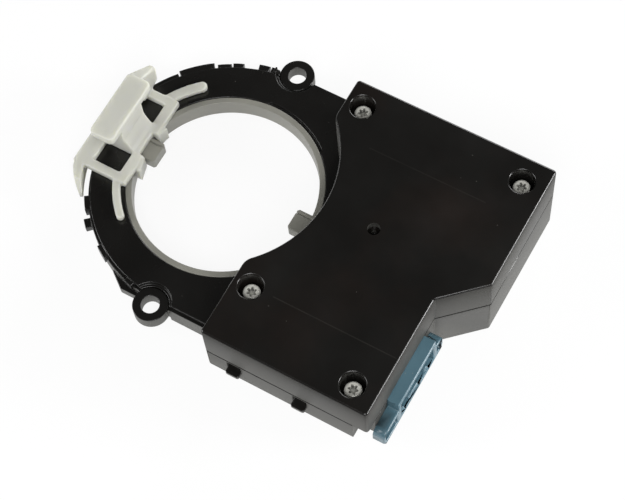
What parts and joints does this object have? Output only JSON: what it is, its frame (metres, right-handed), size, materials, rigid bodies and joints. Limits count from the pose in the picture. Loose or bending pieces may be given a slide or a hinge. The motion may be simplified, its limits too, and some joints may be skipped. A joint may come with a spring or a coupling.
{
  "type": "steering angle sensor",
  "caption": "Steering angle sensor: a geared rotor ring in a flat ring housing, with a box for the electronics, a plug connector and a pull-off lock clip.",
  "frame": {"origin": "axis of the column bore, on the plane of the undersides of the two mounting ears", "axes": "+Z along the steering column, towards the side that carries the lock clip; +X from the ring to the electronics box; +Y along the line of the two ears"},
  "size_m": [0.1147, 0.0872, 0.0263],
  "materials": {
    "housing_plastic": "fine texture",
    "rotor_plastic": "satin",
    "clip_plastic": "satin",
    "connector_plastic": "satin",
    "gear_plastic": "satin",
    "board_laminate": "solder resist",
    "chip_plastic": "matt",
    "can_metal": "satin",
    "pin_steel": "ground",
    "magnet_metal": "nickel plated",
    "terminal_metal": "tin plated",
    "screw_steel": "zinc plated"
  },
  "bodies": {
    "housing": {"lower_housing": "housing_plastic", "upper_cover": "housing_plastic", "ring_cover": "housing_plastic", "connector_shell": "connector_plastic", "circuit_board": "board_laminate", "microcontroller": "chip_plastic", "bus_transceiver": "chip_plastic", "voltage_regulator": "chip_plastic", "crystal_can": "can_metal", "capacitor_can": "can_metal", "gear_pin_1": "pin_steel", "gear_pin_2": "pin_steel", "sensor_chip_1": "chip_plastic", "sensor_chip_2": "chip_plastic", "terminal_pin_1": "terminal_metal", "terminal_pin_2": "terminal_metal", "terminal_pin_3": "terminal_metal", "terminal_pin_4": "terminal_metal", "terminal_pin_5": "terminal_metal", "terminal_pin_6": "terminal_metal", "cover_screw_1": "screw_steel", "cover_screw_2": "screw_steel", "cover_screw_3": "screw_steel", "cover_screw_4": "screw_steel"},
    "rotor": {"rotor_ring": "rotor_plastic"},
    "gear_1": {"measuring_gear_1": "gear_plastic", "magnet_1": "magnet_metal"},
    "gear_2": {"measuring_gear_2": "gear_plastic", "magnet_2": "magnet_metal"},
    "clip": {"lock_clip": "clip_plastic"}
  },
  "joints": [
    {"name": "rotor_turn", "type": "hinge", "parent": "housing", "child": "rotor", "pos_m": [0, 0, 0], "axis": [0, 0, 1], "range_deg": [-1, 1]},
    {"name": "gear_1_turn", "type": "hinge", "parent": "housing", "child": "gear_1", "pos_m": [0.03908, 0.011, 0], "axis": [0, 0, 1], "range_deg": [-3.6, 3.6]},
    {"name": "gear_2_turn", "type": "hinge", "parent": "housing", "child": "gear_2", "pos_m": [0.03975, -0.0112, 0], "axis": [0, 0, 1], "range_deg": [-3.4, 3.4]},
    {"name": "clip_pull", "type": "slide", "parent": "housing", "child": "clip", "axis": [0, 0, 1], "range_m": [0, 0.02]}
  ],
  "couplings": [
    {"joint": "gear_1_turn", "follows": "rotor_turn", "ratio": -3.4615},
    {"joint": "gear_2_turn", "follows": "rotor_turn", "ratio": -3.2143}
  ]
}
